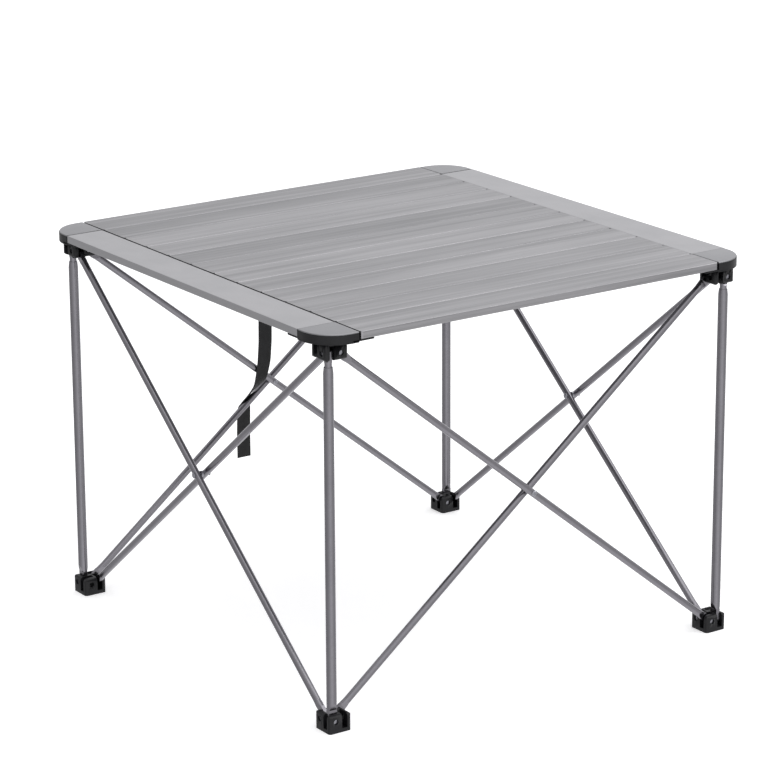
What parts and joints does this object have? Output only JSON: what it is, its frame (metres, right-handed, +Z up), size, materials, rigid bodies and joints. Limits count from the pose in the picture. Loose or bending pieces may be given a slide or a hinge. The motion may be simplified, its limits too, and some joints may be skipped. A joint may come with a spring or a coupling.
{
  "type": "folding picnic table",
  "caption": "Square roll-top camping table: slatted aluminium top on a scissor frame of crossed rods, corner hubs and telescoping legs that gathers to a bundle.",
  "frame": {"origin": "on the floor under the middle of the top", "axes": "+Z up, X across the slats, Y along the slats"},
  "size_m": [0.672, 0.672, 0.52],
  "materials": {
    "slat_aluminium": "brushed, clear anodised",
    "rail_aluminium": "fine brushed, clear anodised",
    "tube_aluminium": "satin, grey anodised",
    "black_nylon": "moulded, fine texture",
    "steel": "zinc plated",
    "webbing": "woven polypropylene webbing",
    "shock_cord": "braided elastic cord"
  },
  "bodies": {
    "foot_front": {"foot_hub_front": "black_nylon", "foot_pins_front": "steel", "leg_tube_front": "tube_aluminium"},
    "top_front": {"top_hub_front": "black_nylon", "top_pins_front": "steel", "inner_tube_front": "tube_aluminium"},
    "foot_right": {"foot_hub_right": "black_nylon", "foot_pins_right": "steel", "leg_tube_right": "tube_aluminium"},
    "top_right": {"top_hub_right": "black_nylon", "top_pins_right": "steel", "inner_tube_right": "tube_aluminium"},
    "foot_back": {"foot_hub_back": "black_nylon", "foot_pins_back": "steel", "leg_tube_back": "tube_aluminium"},
    "top_back": {"top_hub_back": "black_nylon", "top_pins_back": "steel", "inner_tube_back": "tube_aluminium"},
    "foot_left": {"foot_hub_left": "black_nylon", "foot_pins_left": "steel", "leg_tube_left": "tube_aluminium"},
    "top_left": {"top_hub_left": "black_nylon", "top_pins_left": "steel", "inner_tube_left": "tube_aluminium"},
    "rod_front_to_right": {"rod_front_to_right": "tube_aluminium", "cross_rivet_front_right": "steel"},
    "rod_right_to_front": {"rod_right_to_front": "tube_aluminium"},
    "rod_right_to_back": {"rod_right_to_back": "tube_aluminium", "cross_rivet_right_back": "steel"},
    "rod_back_to_right": {"rod_back_to_right": "tube_aluminium"},
    "rod_back_to_left": {"rod_back_to_left": "tube_aluminium", "cross_rivet_back_left": "steel"},
    "rod_left_to_back": {"rod_left_to_back": "tube_aluminium"},
    "rod_left_to_front": {"rod_left_to_front": "tube_aluminium", "cross_rivet_left_front": "steel"},
    "rod_front_to_left": {"rod_front_to_left": "tube_aluminium"},
    "top_frame": {"slat_01": "slat_aluminium", "rail_left_front": "rail_aluminium", "rail_right_back": "rail_aluminium", "corner_front": "black_nylon", "corner_right": "black_nylon", "corner_back": "black_nylon", "corner_left": "black_nylon", "corner_plates": "rail_aluminium", "corner_screws": "steel", "slat_cords": "shock_cord", "strap_clip": "steel", "tie_strap": "webbing"},
    "slat_02": {"slat_02": "slat_aluminium"},
    "slat_03": {"slat_03": "slat_aluminium"},
    "slat_04": {"slat_04": "slat_aluminium"},
    "slat_05": {"slat_05": "slat_aluminium"},
    "slat_06": {"slat_06": "slat_aluminium"},
    "slat_07": {"slat_07": "slat_aluminium"},
    "slat_08": {"slat_08": "slat_aluminium"},
    "slat_09": {"slat_09": "slat_aluminium"},
    "slat_10": {"slat_10": "slat_aluminium"},
    "slat_11": {"slat_11": "slat_aluminium"},
    "slat_12": {"slat_12": "slat_aluminium"}
  },
  "joints": [
    {"name": "fold", "type": "hinge", "parent": "foot_back", "child": "rod_back_to_left", "pos_m": [-0.298, 0.298, 0.015], "axis": [-1, 0, 0], "range_deg": [0, 48], "deforming": ["tie_strap"]},
    {"name": "top_left_turn", "type": "hinge", "parent": "rod_back_to_left", "child": "top_left", "pos_m": [-0.298, -0.298, 0.4927], "axis": [-1, 0, 0], "range_deg": [-48, 0]},
    {"name": "cross_back_left", "type": "hinge", "parent": "rod_back_to_left", "child": "rod_left_to_back", "pos_m": [-0.3045, 0, 0.25385], "axis": [-1, 0, 0], "range_deg": [-96, 0]},
    {"name": "foot_left_turn", "type": "hinge", "parent": "rod_left_to_back", "child": "foot_left", "pos_m": [-0.311, -0.298, 0.015], "axis": [-1, 0, 0], "range_deg": [0, 48]},
    {"name": "top_back_turn", "type": "hinge", "parent": "rod_left_to_back", "child": "top_back", "pos_m": [-0.311, 0.298, 0.4927], "axis": [-1, 0, 0], "range_deg": [0, 48]},
    {"name": "rod_back_to_right_turn", "type": "hinge", "parent": "foot_back", "child": "rod_back_to_right", "pos_m": [-0.298, 0.311, 0.015], "axis": [0, 1, 0], "range_deg": [-48, 0]},
    {"name": "top_right_turn", "type": "hinge", "parent": "rod_back_to_right", "child": "top_right", "pos_m": [0.298, 0.311, 0.4927], "axis": [0, 1, 0], "range_deg": [0, 48]},
    {"name": "cross_right_back", "type": "hinge", "parent": "rod_back_to_right", "child": "rod_right_to_back", "pos_m": [0, 0.3045, 0.25385], "axis": [0, 1, 0], "range_deg": [0, 96]},
    {"name": "foot_right_turn", "type": "hinge", "parent": "rod_right_to_back", "child": "foot_right", "pos_m": [0.298, 0.298, 0.015], "axis": [0, 1, 0], "range_deg": [-48, 0]},
    {"name": "rod_left_to_front_turn", "type": "hinge", "parent": "foot_left", "child": "rod_left_to_front", "pos_m": [-0.298, -0.298, 0.015], "axis": [0, -1, 0], "range_deg": [0, 48]},
    {"name": "top_front_turn", "type": "hinge", "parent": "rod_left_to_front", "child": "top_front", "pos_m": [0.298, -0.298, 0.4927], "axis": [0, -1, 0], "range_deg": [-48, 0]},
    {"name": "cross_left_front", "type": "hinge", "parent": "rod_left_to_front", "child": "rod_front_to_left", "pos_m": [0, -0.3045, 0.25385], "axis": [0, -1, 0], "range_deg": [-96, 0]},
    {"name": "foot_front_turn", "type": "hinge", "parent": "rod_front_to_left", "child": "foot_front", "pos_m": [0.298, -0.311, 0.015], "axis": [0, -1, 0], "range_deg": [0, 48]},
    {"name": "rod_right_to_front_turn", "type": "hinge", "parent": "foot_right", "child": "rod_right_to_front", "pos_m": [0.311, 0.298, 0.015], "axis": [1, 0, 0], "range_deg": [-48, 0]},
    {"name": "cross_front_right", "type": "hinge", "parent": "rod_right_to_front", "child": "rod_front_to_right", "pos_m": [0.3045, 0, 0.25385], "axis": [1, 0, 0], "range_deg": [0, 96]},
    {"name": "top_lift", "type": "slide", "parent": "top_back", "child": "top_frame", "axis": [0, 0, 1], "range_m": [0, 0.15]},
    {"name": "mat_roll", "type": "hinge", "parent": "top_frame", "child": "slat_02", "pos_m": [-0.28, 0, 0.5204], "axis": [0, -1, 0], "range_deg": [0, 28], "deforming": ["slat_cords"]},
    {"name": "mat_roll_02", "type": "hinge", "parent": "slat_02", "child": "slat_03", "pos_m": [-0.224, 0, 0.5204], "axis": [0, -1, 0], "range_deg": [0, 28]},
    {"name": "mat_roll_03", "type": "hinge", "parent": "slat_03", "child": "slat_04", "pos_m": [-0.168, 0, 0.5204], "axis": [0, -1, 0], "range_deg": [0, 28]},
    {"name": "mat_roll_04", "type": "hinge", "parent": "slat_04", "child": "slat_05", "pos_m": [-0.112, 0, 0.5204], "axis": [0, -1, 0], "range_deg": [0, 28]},
    {"name": "mat_roll_05", "type": "hinge", "parent": "slat_05", "child": "slat_06", "pos_m": [-0.056, 0, 0.5204], "axis": [0, -1, 0], "range_deg": [0, 28]},
    {"name": "mat_roll_06", "type": "hinge", "parent": "slat_06", "child": "slat_07", "pos_m": [0, 0, 0.5204], "axis": [0, -1, 0], "range_deg": [0, 28]},
    {"name": "mat_roll_07", "type": "hinge", "parent": "slat_07", "child": "slat_08", "pos_m": [0.056, 0, 0.5204], "axis": [0, -1, 0], "range_deg": [0, 28]},
    {"name": "mat_roll_08", "type": "hinge", "parent": "slat_08", "child": "slat_09", "pos_m": [0.112, 0, 0.5204], "axis": [0, -1, 0], "range_deg": [0, 28]},
    {"name": "mat_roll_09", "type": "hinge", "parent": "slat_09", "child": "slat_10", "pos_m": [0.168, 0, 0.5204], "axis": [0, -1, 0], "range_deg": [0, 28]},
    {"name": "mat_roll_10", "type": "hinge", "parent": "slat_10", "child": "slat_11", "pos_m": [0.224, 0, 0.5204], "axis": [0, -1, 0], "range_deg": [0, 28]},
    {"name": "mat_roll_11", "type": "hinge", "parent": "slat_11", "child": "slat_12", "pos_m": [0.28, 0, 0.5204], "axis": [0, -1, 0], "range_deg": [0, 28]}
  ],
  "couplings": [
    {"joint": "top_left_turn", "follows": "fold", "ratio": -1},
    {"joint": "cross_back_left", "follows": "fold", "ratio": -2},
    {"joint": "foot_left_turn", "follows": "fold", "ratio": 1},
    {"joint": "top_back_turn", "follows": "fold", "ratio": 1},
    {"joint": "rod_back_to_right_turn", "follows": "fold", "ratio": -1},
    {"joint": "top_right_turn", "follows": "fold", "ratio": 1},
    {"joint": "cross_right_back", "follows": "fold", "ratio": 2},
    {"joint": "foot_right_turn", "follows": "fold", "ratio": -1},
    {"joint": "rod_left_to_front_turn", "follows": "fold", "ratio": 1},
    {"joint": "top_front_turn", "follows": "fold", "ratio": -1},
    {"joint": "cross_left_front", "follows": "fold", "ratio": -2},
    {"joint": "foot_front_turn", "follows": "fold", "ratio": 1},
    {"joint": "rod_right_to_front_turn", "follows": "fold", "ratio": -1},
    {"joint": "cross_front_right", "follows": "fold", "ratio": 2},
    {"joint": "mat_roll_02", "follows": "mat_roll", "ratio": 1},
    {"joint": "mat_roll_03", "follows": "mat_roll", "ratio": 1},
    {"joint": "mat_roll_04", "follows": "mat_roll", "ratio": 1},
    {"joint": "mat_roll_05", "follows": "mat_roll", "ratio": 1},
    {"joint": "mat_roll_06", "follows": "mat_roll", "ratio": 1},
    {"joint": "mat_roll_07", "follows": "mat_roll", "ratio": 1},
    {"joint": "mat_roll_08", "follows": "mat_roll", "ratio": 1},
    {"joint": "mat_roll_09", "follows": "mat_roll", "ratio": 1},
    {"joint": "mat_roll_10", "follows": "mat_roll", "ratio": 1},
    {"joint": "mat_roll_11", "follows": "mat_roll", "ratio": 1}
  ]
}
